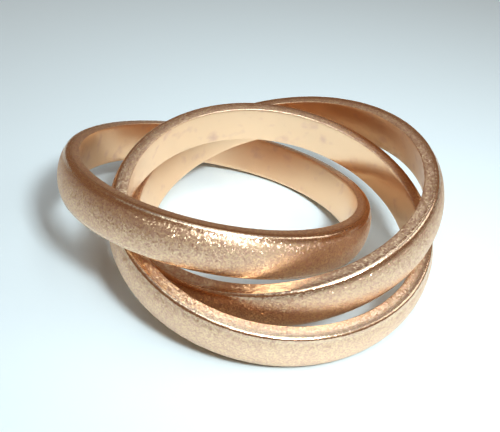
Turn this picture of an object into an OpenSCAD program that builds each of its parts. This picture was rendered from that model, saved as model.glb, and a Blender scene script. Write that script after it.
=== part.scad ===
// Three interlinked rings of rose gold that roll over each other on the finger.
// Here they lie fanned out on a level surface, each tilted over the next.
// Millimetres. +Z is up, the viewer is on the -Y side and X runs to the viewer's right.
// The origin is on the surface, under the middle of the pile's box.

/* [Band section] */
// Bore diameter of each band
bore_d = 19; // [18.4:0.1:19.6]
// Width of a band along its own axis
band_w = 2.9; // [2.5:0.1:3]
// Thickness of a band at its flat side faces
side_t = 0.88; // [0.6:0.01:0.95]
// Rise of the domed outside above the rims of the side faces
crown_h = 0.35; // [0.2:0.01:0.4]
// Radius of the broken edges
edge_r = 0.08; // [0.04:0.01:0.15]

/* [Left band] */
// Centre, to the right of the pile's middle
left_x = -2.75; // [-3.5:0.05:-2]
// Centre, behind the pile's middle
left_y = 1.2; // [0.5:0.05:2]
// Tilt out of level
left_tilt = 14; // [10:0.1:18]
// Heading of the raised side, anticlockwise from +X
left_heading = -118.5; // [-130:0.5:-110]

/* [Front band] */
// Centre, to the right of the pile's middle
front_x = 1.1; // [0.5:0.05:2]
// Centre, behind the pile's middle
front_y = -1.6; // [-2.5:0.05:-1]
// Tilt out of level
front_tilt = 12.9; // [10:0.1:18]
// Heading of the raised side, anticlockwise from +X
front_heading = 109.5; // [100:0.5:120]

/* [Right band] */
// Centre, to the right of the pile's middle
right_x = 1.65; // [1:0.05:2.5]
// Centre, behind the pile's middle
right_y = 0.4; // [-0.5:0.05:1]
// Tilt out of level
right_tilt = 15.9; // [10:0.1:18]
// Heading of the raised side, anticlockwise from +X
right_heading = 24; // [15:0.5:35]

/* [Hidden] */
$fn = 180;
ROSE_GOLD = [0.80, 0.57, 0.42];

// One row a band, with these columns
X = 0;
Y = 1;
TILT = 2;
HEADING = 3;
LEFT = [left_x, left_y, left_tilt, left_heading];
FRONT = [front_x, front_y, front_tilt, front_heading];
RIGHT = [right_x, right_y, right_tilt, right_heading];
BANDS = [LEFT, FRONT, RIGHT];

bore_r = bore_d / 2;
half_w = band_w / 2;
crown_r = bore_r + side_t + crown_h;

// The dome of the section is one arc through both rims and the crown
dome_r = (half_w * half_w + crown_h * crown_h) / (2 * crown_h);
dome_c = crown_r - dome_r;

// Centre of the arc that breaks the rim between a side face and the dome
rim_y = half_w - edge_r;
rim_x = dome_c + sqrt(pow(dome_r - edge_r, 2) - pow(rim_y, 2));
rim_dir = [rim_x - dome_c, rim_y] / (dome_r - edge_r);
cut = 3 * edge_r;

// Height of a band's centre when the rim of its low side touches the surface
function rest_z(tilt) = rim_x * sin(tilt) + rim_y * cos(tilt) + edge_r;

// How far a tilted band reaches from its centre in a level direction
function reach(tilt, bearing) = dome_c * sqrt(1 - pow(sin(tilt) * cos(bearing), 2)) + dome_r;
function reach_x(b) = reach(b[TILT], b[HEADING]);
function reach_y(b) = reach(b[TILT], b[HEADING] - 90);

// Middle of the pile's box, which becomes the origin
mid_x = (max([for (b = BANDS) b[X] + reach_x(b)]) + min([for (b = BANDS) b[X] - reach_x(b)])) / 2;
mid_y = (max([for (b = BANDS) b[Y] + reach_y(b)]) + min([for (b = BANDS) b[Y] - reach_y(b)])) / 2;

// Corner between the bore and a side face, outside its small arc
module bore_corner() {
    difference() {
        translate([bore_r - cut, half_w - edge_r]) square([cut + edge_r, cut]);
        translate([bore_r + edge_r, half_w - edge_r]) circle(r = edge_r);
    }
}

// Corner between the dome and a side face, outside its small arc
module rim_corner() {
    translate([rim_x, rim_y]) difference() {
        polygon([[0, 0], [0, cut], [cut, cut], rim_dir * cut]);
        circle(r = edge_r);
    }
}

// Section of a band: flat bore, flat side faces, domed outside, edges just broken
module band_section() {
    difference() {
        intersection() {
            translate([dome_c, 0]) circle(r = dome_r);
            translate([bore_r, -half_w]) square([side_t + crown_h, band_w]);
        }
        for (side = [0, 1]) mirror([0, side]) {
            bore_corner();
            rim_corner();
        }
    }
}

// A band where it lies, its low side on the surface and its other side raised
module band(row) {
    color(ROSE_GOLD)
        translate([row[X] - mid_x, row[Y] - mid_y, rest_z(row[TILT])])
        rotate([0, 0, row[HEADING]])
        rotate([0, -row[TILT], 0])
        rotate_extrude() band_section();
}

module band_left() {
    band(LEFT);
}

module band_front() {
    band(FRONT);
}

module band_right() {
    band(RIGHT);
}

band_left();
band_front();
band_right();
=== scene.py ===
"""Three interlinked rings of rose gold, fanned out on a pale surface.

Each packed band is replaced by a finer mesh of the same section in the same place, which carries the
brushed, sparkling finish of the outside and the smoother bore. Units are metres, in the frame of the CAD:
+Z is up, X runs to the viewer's right and the camera is on the -Y side.
"""
import math

import bpy
import numpy as np
from mathutils import Matrix, Vector, noise


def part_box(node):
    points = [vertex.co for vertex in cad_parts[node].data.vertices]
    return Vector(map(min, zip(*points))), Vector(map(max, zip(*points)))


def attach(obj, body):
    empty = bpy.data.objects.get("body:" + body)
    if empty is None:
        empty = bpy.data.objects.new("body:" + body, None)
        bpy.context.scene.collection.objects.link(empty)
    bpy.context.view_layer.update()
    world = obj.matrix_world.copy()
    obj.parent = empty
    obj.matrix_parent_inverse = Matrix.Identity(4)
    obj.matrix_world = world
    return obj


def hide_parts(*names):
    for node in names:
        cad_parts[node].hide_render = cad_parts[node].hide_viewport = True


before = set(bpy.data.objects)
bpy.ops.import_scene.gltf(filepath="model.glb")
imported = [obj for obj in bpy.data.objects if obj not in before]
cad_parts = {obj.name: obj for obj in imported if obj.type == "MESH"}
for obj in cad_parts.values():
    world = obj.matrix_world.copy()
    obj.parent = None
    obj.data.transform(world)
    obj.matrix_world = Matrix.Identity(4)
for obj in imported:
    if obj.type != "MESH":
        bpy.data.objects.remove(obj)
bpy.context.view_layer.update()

MM = 0.001

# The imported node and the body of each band
BANDS = [("band_left", "left"), ("band_front", "front"), ("band_right", "right")]

# Section of a band, as in the CAD source
BORE_R = 9.5 * MM
HALF_W = 1.45 * MM
SIDE_T = 0.88 * MM
CROWN_H = 0.35 * MM
CROWN_R = BORE_R + SIDE_T + CROWN_H

# The dome is one arc through both rims and the crown
DOME_R = (HALF_W ** 2 + CROWN_H ** 2) / (2 * CROWN_H)
DOME_C = CROWN_R - DOME_R

# Broken edge at the bore, and the outer rim, which wear has made rounder
EDGE_R = 0.05 * MM
RIM_R = 0.28 * MM

# Centre of the arc between a side face and the dome, and the angle at which it meets the dome
RIM_H = HALF_W - RIM_R
RIM_X = DOME_C + math.sqrt((DOME_R - RIM_R) ** 2 - RIM_H ** 2)
RIM_ANGLE = math.atan2(RIM_H, RIM_X - DOME_C)

# Mesh steps round the band, and along each part of half its section
STEPS_ROUND = 960
BORE_STEPS = 7
CORNER_STEPS = 3
SIDE_STEPS = 9
RIM_STEPS = 8
DOME_STEPS = 12

# Finishes, which are also the mesh's material slots
BORE = 0
SIDE = 1
DOME = 2

# Rows that the unrolled band is cut into on its UV map, and the share of a row that it fills
UV_ROWS = 3
UV_FILL = 0.97

# Shallow waves of the hand-finished surface
WAVE_DEPTH = 0.004 * MM
WAVE_SIZE = 0.9 * MM

# Wear along the outer rims: how far from a rim it reaches, and how deep it rounds the surface
RIM_REACH = 0.34 * MM
ROUND_DEPTH = 0.024 * MM

# Nicks in the outer rims, and how high the noise has to be for one
NICK_DEPTH = 0.014 * MM
NICK_SIZE = 0.22 * MM
NICK_START = 0.12

# How far the bands lie apart in the noise, so that no two are worn alike
SEED_STEP = 10.0

# Camera: the point on the surface that it looks at, its place from there, its roll, and the range it sees
TARGET = Vector((0.41 * MM, 4.24 * MM, 0))
DISTANCE = 57.4 * MM
ELEVATION = math.radians(34.1)
HEADING = math.radians(-1.5)
ROLL = math.radians(6.1)
NEAREST = 1 * MM
FARTHEST = 10.0

# Lens and sensor in millimetres
LENS = 55.3
SENSOR = 36.0

# Colours of the bore, of its specks and the pinkest facets, of the yellowest facets, and of the floor
ROSE_GOLD = (0.92, 0.675, 0.475)
PINK_GOLD = (0.78, 0.54, 0.43)
YELLOW_GOLD = (0.95, 0.76, 0.54)
FLOOR_COLOUR = (0.77, 0.86, 0.90)

# Facets of the outside: a share of them has the plain lean, and the others lean up to the steepest
FACET_SIZE = 0.08 * MM
PLAIN_SHARE = 0.5
PLAIN_LEAN = 0.22
STEEPEST_LEAN = 2.6 * PLAIN_LEAN

# Dents of the outside, and streaks, which are long across the band
DENT_SIZE = 0.35 * MM
DENT_DEPTH = 0.004 * MM
STREAK_SIZE = 0.09 * MM
STREAK_STRETCH = (1, 1, 0.12)
SIDE_STREAK_DEPTH = 0.003 * MM
DOME_STREAK_DEPTH = 0.004 * MM

# Roughness of the outside
SIDE_ROUGHNESS = 0.44
DOME_ROUGHNESS = 0.46

# Polish of the outer rims, and the rim shares from which it calms the facets and smooths the surface
CALM_START = 0.7
CALM_LEAN = 0.5 * PLAIN_LEAN
POLISH_START = 0.6
POLISHED_ROUGHNESS = 0.24

# Dull specks of the bore, and the heights of the noise where they start and are full
SPECK_SIZE = 1.1 * MM
SPECK_START = 0.58
SPECK_FULL = 0.85

# Soft waves of the bore, and faint lines, which are long round it
BORE_WAVE_SIZE = 0.9 * MM
BORE_WAVE_DEPTH = 0.012 * MM
LINE_SIZE = 0.10 * MM
LINE_DEPTH = 0.0025 * MM
LINE_STRETCH = (0.06, 0.06, 1)

# Roughness of the bore and of its specks
BORE_ROUGHNESS = 0.30
SPECK_ROUGHNESS = 0.40

# Surface under the rings
FLOOR_REACH = 0.8
FLOOR_ROUGHNESS = 0.6

# Distance of the lamps from the origin, their colour, and the point that the key lamp aims at
LAMP_DISTANCE = 120 * MM
LAMP_WHITE = (0.92, 1.02, 1.06)
KEY_AIM = (5 * MM, 9 * MM, 0)

# The room's colours, and the heights between which they meet, as the sine of elevation
ROOM_BROWN = (0.29, 0.20, 0.14)
ROOM_GREY = (0.45, 0.50, 0.54)
ROOM_HORIZON = 0.70
ROOM_TOP = 0.95

# How the photograph's camera renders light
LOOK = "High Contrast"
EXPOSURE = -0.55

# Sockets of Blender's Mix node for colours, whose names are used more than once
MIX_SHARE = 0
MIX_FIRST = 6
MIX_SECOND = 7
MIX_RESULT = 2


def arc(centre_r, centre_h, radius, start, end, steps):
    """Points of an arc in the section, without its first."""
    turns = [start + (end - start) * i / steps for i in range(1, steps + 1)]
    return [(centre_r + radius * math.cos(t), centre_h + radius * math.sin(t)) for t in turns]


def line(start, end, steps):
    """Points of a straight line in the section, without its first."""
    shares = [i / steps for i in range(1, steps + 1)]
    return [tuple(a + (b - a) * s for a, b in zip(start, end)) for s in shares]


def section():
    """Points once round a band's section from the middle of the bore, and the finish of each step."""
    bore_end = (BORE_R, HALF_W - EDGE_R)
    side_start = (BORE_R + EDGE_R, HALF_W)
    side_end = (RIM_X, HALF_W)
    parts = [
        (BORE, line((BORE_R, 0), bore_end, BORE_STEPS)),
        (SIDE, arc(side_start[0], bore_end[1], EDGE_R, math.pi, math.pi / 2, CORNER_STEPS)),
        (SIDE, line(side_start, side_end, SIDE_STEPS)),
        (DOME, arc(RIM_X, RIM_H, RIM_R, math.pi / 2, RIM_ANGLE, RIM_STEPS)),
        (DOME, arc(DOME_C, 0, DOME_R, RIM_ANGLE, 0, DOME_STEPS)),
    ]
    upper = [point for _, points in parts for point in points]
    finish = [kind for kind, points in parts for _ in points]
    lower = [(r, -h) for r, h in reversed(upper[:-1])]
    return np.array([(BORE_R, 0)] + upper + lower), finish + finish[::-1]


def section_normals(points):
    """Outward normals at the section's points, from their neighbours."""
    tangent = np.roll(points, -1, axis=0) - np.roll(points, 1, axis=0)
    normal = np.column_stack([-tangent[:, 1], tangent[:, 0]])
    return normal / np.linalg.norm(normal, axis=1)[:, None]


def band_place(node):
    """Centre of a packed band, and its axis: the direction in which its surface spreads least."""
    low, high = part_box(node.name)
    centre = (np.array(low) + np.array(high)) / 2
    faces = node.data.polygons
    arms = np.array([node.matrix_world @ face.center for face in faces]) - centre
    areas = np.array([face.area for face in faces])
    axis = np.linalg.eigh(arms.T @ (arms * areas[:, None]))[1][:, 0]
    return centre, axis * np.sign(axis[2])


def rim_share(point):
    """How close a point of the section is to an outer rim, from 0 to 1."""
    gap = math.hypot(point[0] - RIM_X, abs(point[1]) - RIM_H) - RIM_R
    return max(0.0, 1 - gap / RIM_REACH)


def wear(place, rim, seed):
    """How far the worn surface lies below the true section at a place in the band's own frame."""
    shift = Vector((seed, 2 * seed, 3 * seed))
    wave = 0.5 + 0.5 * noise.noise(place / WAVE_SIZE + shift)
    depth = WAVE_DEPTH * wave + ROUND_DEPTH * rim ** 2
    if rim > 0:
        nick = noise.noise(place / NICK_SIZE + shift) - NICK_START
        depth += NICK_DEPTH * rim * max(0.0, nick)
    return depth


def band_mesh(name, seed):
    """A band round its own Z axis, with its unrolled UV map, its strip coordinates and its rim shares."""
    points, finish = section()
    normals = section_normals(points)
    count = len(points)
    rims = [rim_share(p) for p in points]
    steps = np.linalg.norm(np.roll(points, -1, axis=0) - points, axis=1)
    along = np.concatenate([[0], np.cumsum(steps)])
    verts = []
    strip = []
    for i in range(STEPS_ROUND):
        turn = 2 * math.pi * i / STEPS_ROUND
        out = (math.cos(turn), math.sin(turn))
        for (r, h), (nr, nh), rim, s in zip(points, normals, rims, along):
            depth = wear(Vector((r * out[0], r * out[1], h)), rim, seed)
            far = r - nr * depth
            verts.append((far * out[0], far * out[1], h - nh * depth))
            strip.append((CROWN_R * out[0], CROWN_R * out[1], s))
    faces = []
    for i in range(STEPS_ROUND):
        ring = i * count
        after = (i + 1) % STEPS_ROUND * count
        for j in range(count):
            k = (j + 1) % count
            faces.append((ring + j, ring + k, after + k, after + j))
    mesh = bpy.data.meshes.new(name)
    mesh.from_pydata(verts, [], faces)
    mesh.polygons.foreach_set("material_index", finish * STEPS_ROUND)
    mesh.polygons.foreach_set("use_smooth", [True] * len(faces))
    layer = mesh.attributes.new("strip", "FLOAT_VECTOR", "POINT")
    layer.data.foreach_set("vector", np.array(strip).ravel())
    rim_layer = mesh.attributes.new("rim", "FLOAT", "POINT")
    rim_layer.data.foreach_set("value", rims * STEPS_ROUND)
    unroll(mesh, count, along / along[-1])
    return mesh


def unroll(mesh, count, across):
    """Lays the band on its UV map as a strip cut into rows."""
    corners = mesh.uv_layers.new(name="OFBake").data
    run = STEPS_ROUND // UV_ROWS
    uv = []
    for i in range(STEPS_ROUND):
        row, place = divmod(i, run)
        u0 = place / run
        u1 = (place + 1) / run
        for j in range(count):
            v0 = (row + UV_FILL * across[j]) / UV_ROWS
            v1 = (row + UV_FILL * across[j + 1]) / UV_ROWS
            uv += [u0, v0, u0, v1, u1, v1, u1, v0]
    corners.foreach_set("uv", uv)


class Shader:
    """A material's node tree, with short calls for the nodes used here."""

    def __init__(self, name):
        self.material = bpy.data.materials.new(name)
        self.material.use_nodes = True
        self.tree = self.material.node_tree
        self.surface = self.tree.nodes["Principled BSDF"]

    def node(self, kind, inputs, **settings):
        """Adds a node, sets its options, and links or sets its inputs."""
        made = self.tree.nodes.new(kind)
        for key, value in settings.items():
            setattr(made, key, value)
        for key, value in inputs.items():
            self.put(made, key, value)
        return made

    def put(self, target, key, value):
        """Gives an input a value, or a link where the value is another node's output."""
        if isinstance(value, bpy.types.NodeSocket):
            self.tree.links.new(value, target.inputs[key])
        else:
            target.inputs[key].default_value = value

    def attribute(self, name, output):
        """A value that is stored on the mesh."""
        return self.node("ShaderNodeAttribute", {}, attribute_name=name).outputs[output]

    def stretched(self, vector, scale):
        """A vector scaled in each direction."""
        scaled = self.node("ShaderNodeMapping", {"Vector": vector, "Scale": scale})
        return scaled.outputs["Vector"]

    def grain(self, vector, size, detail=2.0, roughness=0.5):
        """Fractal noise from 0 to 1, whose forms are about size metres across."""
        inputs = {"Vector": vector, "Scale": 1 / size, "Detail": detail, "Roughness": roughness}
        return self.node("ShaderNodeTexNoise", inputs).outputs["Fac"]

    def remap(self, value, low, high, to_low, to_high):
        """A value moved from one range to another, and held inside it."""
        inputs = {"Value": value, "From Min": low, "From Max": high, "To Min": to_low, "To Max": to_high}
        return self.node("ShaderNodeMapRange", inputs).outputs["Result"]

    def blend(self, share, first, second):
        """A mix of two colours."""
        inputs = {MIX_SHARE: share, MIX_FIRST: first + (1.0,), MIX_SECOND: second + (1.0,)}
        return self.node("ShaderNodeMix", inputs, data_type="RGBA").outputs[MIX_RESULT]

    def facets(self, vector, size):
        """A random colour for each of the tiny cells that the space is split into."""
        cells = self.node("ShaderNodeTexVoronoi", {"Vector": vector, "Scale": 1 / size, "Randomness": 1.0})
        return cells.outputs["Color"]

    def part(self, vector, index):
        """One of a vector's three numbers."""
        return self.node("ShaderNodeSeparateXYZ", {"Vector": vector}).outputs[index]

    def tilted(self, vector, lean):
        """A normal that leans by random vectors, whose numbers lie between 0 and 1."""
        normal = self.node("ShaderNodeNewGeometry", {}).outputs["Normal"]
        middle = self.node("ShaderNodeVectorMath", {0: vector, 1: (-0.5, -0.5, -0.5)}, operation="ADD")
        side = self.node("ShaderNodeVectorMath", {0: middle.outputs[0], "Scale": lean}, operation="SCALE")
        both = self.node("ShaderNodeVectorMath", {0: normal, 1: side.outputs[0]}, operation="ADD")
        return self.node("ShaderNodeVectorMath", {0: both.outputs[0]}, operation="NORMALIZE").outputs[0]

    def bump(self, height, distance, normal=None):
        """A normal bent by a height, whose whole range is a distance in metres."""
        inputs = {"Height": height, "Distance": distance, "Strength": 1.0}
        if normal is not None:
            inputs["Normal"] = normal
        return self.node("ShaderNodeBump", inputs).outputs["Normal"]


def brushed_gold(name, roughness, streak_depth):
    """The outside: sparkling facets of two golds, soft dents, faint streaks across and polished rims."""
    shader = Shader(name)
    strip = shader.attribute("strip", "Vector")
    rim = shader.attribute("rim", "Fac")
    place = shader.node("ShaderNodeTexCoord", {}).outputs["Object"]
    facets = shader.facets(place, FACET_SIZE)
    colour = shader.blend(shader.part(facets, 0), PINK_GOLD, YELLOW_GOLD)
    dents = shader.grain(place, DENT_SIZE, detail=3.0, roughness=0.6)
    streaks = shader.grain(shader.stretched(strip, STREAK_STRETCH), STREAK_SIZE)
    lean = shader.remap(shader.part(facets, 2), PLAIN_SHARE, 1, PLAIN_LEAN, STEEPEST_LEAN)
    bent = shader.tilted(facets, shader.remap(rim, CALM_START, 1, lean, CALM_LEAN))
    bent = shader.bump(dents, DENT_DEPTH, bent)
    bent = shader.bump(streaks, streak_depth, bent)
    polish = shader.remap(rim, POLISH_START, 1, roughness, POLISHED_ROUGHNESS)
    shader.put(shader.surface, "Base Color", colour)
    shader.put(shader.surface, "Metallic", 1.0)
    shader.put(shader.surface, "Roughness", polish)
    shader.put(shader.surface, "Normal", bent)
    return shader.material


def satin_gold():
    """The bore: smoother rose gold, with soft waves, faint lines round it and a few dull pink specks."""
    shader = Shader("satin_bore")
    strip = shader.attribute("strip", "Vector")
    place = shader.node("ShaderNodeTexCoord", {}).outputs["Object"]
    specks = shader.remap(shader.grain(place, SPECK_SIZE), SPECK_START, SPECK_FULL, 0, 1)
    colour = shader.blend(specks, ROSE_GOLD, PINK_GOLD)
    lines = shader.grain(shader.stretched(strip, LINE_STRETCH), LINE_SIZE)
    bent = shader.bump(shader.grain(place, BORE_WAVE_SIZE), BORE_WAVE_DEPTH)
    bent = shader.bump(lines, LINE_DEPTH, bent)
    dullness = shader.remap(specks, 0, 1, BORE_ROUGHNESS, SPECK_ROUGHNESS)
    shader.put(shader.surface, "Base Color", colour)
    shader.put(shader.surface, "Metallic", 1.0)
    shader.put(shader.surface, "Roughness", dullness)
    shader.put(shader.surface, "Normal", bent)
    return shader.material


def pale_surface():
    """The plain pale surface that the rings lie on."""
    shader = Shader("pale_surface")
    shader.put(shader.surface, "Base Color", FLOOR_COLOUR + (1.0,))
    shader.put(shader.surface, "Roughness", FLOOR_ROUGHNESS)
    return shader.material


def add_band(node_name, body, seed, finishes):
    """Puts a finer band in the place of a packed one."""
    centre, axis = band_place(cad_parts[node_name])
    mesh = band_mesh(node_name + "_detailed", seed)
    turn = Vector((0, 0, 1)).rotation_difference(Vector(axis)).to_matrix().to_4x4()
    mesh.transform(Matrix.Translation(Vector(centre)) @ turn)
    for finish in finishes:
        mesh.materials.append(finish)
    band = bpy.data.objects.new(mesh.name, mesh)
    bpy.context.scene.collection.objects.link(band)
    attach(band, body)
    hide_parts(node_name)


def add_bands():
    """The three bands, each worn in its own way."""
    finishes = [
        satin_gold(),
        brushed_gold("brushed_side", SIDE_ROUGHNESS, SIDE_STREAK_DEPTH),
        brushed_gold("brushed_dome", DOME_ROUGHNESS, DOME_STREAK_DEPTH),
    ]
    for number, (node_name, body) in enumerate(BANDS, 1):
        add_band(node_name, body, SEED_STEP * number, finishes)


def add_floor():
    """A wide level surface under the rings."""
    far = FLOOR_REACH
    corners = [(-far, -far, 0), (far, -far, 0), (far, far, 0), (-far, far, 0)]
    mesh = bpy.data.meshes.new("pale_floor")
    mesh.from_pydata(corners, [], [(0, 1, 2, 3)])
    mesh.materials.append(pale_surface())
    floor = bpy.data.objects.new("pale_floor", mesh)
    bpy.context.scene.collection.objects.link(floor)


def add_camera():
    """The photograph's view of the rings."""
    level = math.cos(ELEVATION)
    back = Vector((math.sin(HEADING) * level, -math.cos(HEADING) * level, math.sin(ELEVATION)))
    lens = bpy.data.cameras.new("camera")
    lens.lens = LENS
    lens.sensor_width = SENSOR
    lens.clip_start = NEAREST
    lens.clip_end = FARTHEST
    camera = bpy.data.objects.new("camera", lens)
    camera.location = TARGET + DISTANCE * back
    look = back.to_track_quat("Z", "Y")
    camera.rotation_euler = (look.to_matrix() @ Matrix.Rotation(ROLL, 3, "Z")).to_euler()
    bpy.context.scene.collection.objects.link(camera)
    bpy.context.scene.camera = camera


def add_lamp(name, heading, elevation, size, radiance, aim=(0, 0, 0), spread=180):
    """A square lamp that faces its aim. Its heading is degrees from the back round to the right."""
    turn = math.radians(heading)
    rise = math.radians(elevation)
    level = math.cos(rise)
    place = LAMP_DISTANCE * Vector((math.sin(turn) * level, math.cos(turn) * level, math.sin(rise)))
    half = math.radians(spread) / 2

    # A narrower spread makes a lamp of the same energy brighter along its middle by this factor
    focus = math.tan(half) / (math.tan(half) - half)
    data = bpy.data.lights.new(name, "AREA")
    data.shape = "SQUARE"
    data.size = size
    data.spread = 2 * half
    data.energy = math.pi * size ** 2 * radiance / focus
    data.color = LAMP_WHITE
    lamp = bpy.data.objects.new(name, data)
    lamp.location = place
    lamp.rotation_euler = (place - Vector(aim)).to_track_quat("Z", "Y").to_euler()
    bpy.context.scene.collection.objects.link(lamp)


def add_lights():
    """A small lamp above the camera's right, and soft panels overhead, at the right and over the back."""
    add_lamp("key_lamp", heading=150, elevation=50, size=22 * MM, radiance=95, aim=KEY_AIM, spread=76)
    add_lamp("overhead_panel", heading=160, elevation=68, size=84 * MM, radiance=2.0)
    add_lamp("right_panel", heading=85, elevation=38, size=60 * MM, radiance=1.5)
    add_lamp("back_panel", heading=18, elevation=68, size=42 * MM, radiance=0.9)


def add_room():
    """A dim room: brown round the horizon and a cool grey overhead."""
    world = bpy.data.worlds.new("room")
    world.use_nodes = True
    tree = world.node_tree
    place = tree.nodes.new("ShaderNodeTexCoord")
    split = tree.nodes.new("ShaderNodeSeparateXYZ")
    ramp = tree.nodes.new("ShaderNodeValToRGB")
    ramp.color_ramp.elements[0].position = ROOM_HORIZON
    ramp.color_ramp.elements[0].color = ROOM_BROWN + (1.0,)
    ramp.color_ramp.elements[1].position = ROOM_TOP
    ramp.color_ramp.elements[1].color = ROOM_GREY + (1.0,)
    tree.links.new(place.outputs["Generated"], split.inputs["Vector"])
    tree.links.new(split.outputs["Z"], ramp.inputs["Fac"])
    tree.links.new(ramp.outputs["Color"], tree.nodes["Background"].inputs["Color"])
    bpy.context.scene.world = world


def set_view():
    """Renders light as the photograph's camera does."""
    view = bpy.context.scene.view_settings
    view.view_transform = "Standard"
    view.look = LOOK
    view.exposure = EXPOSURE


add_bands()
add_floor()
add_camera()
add_room()
add_lights()
set_view()
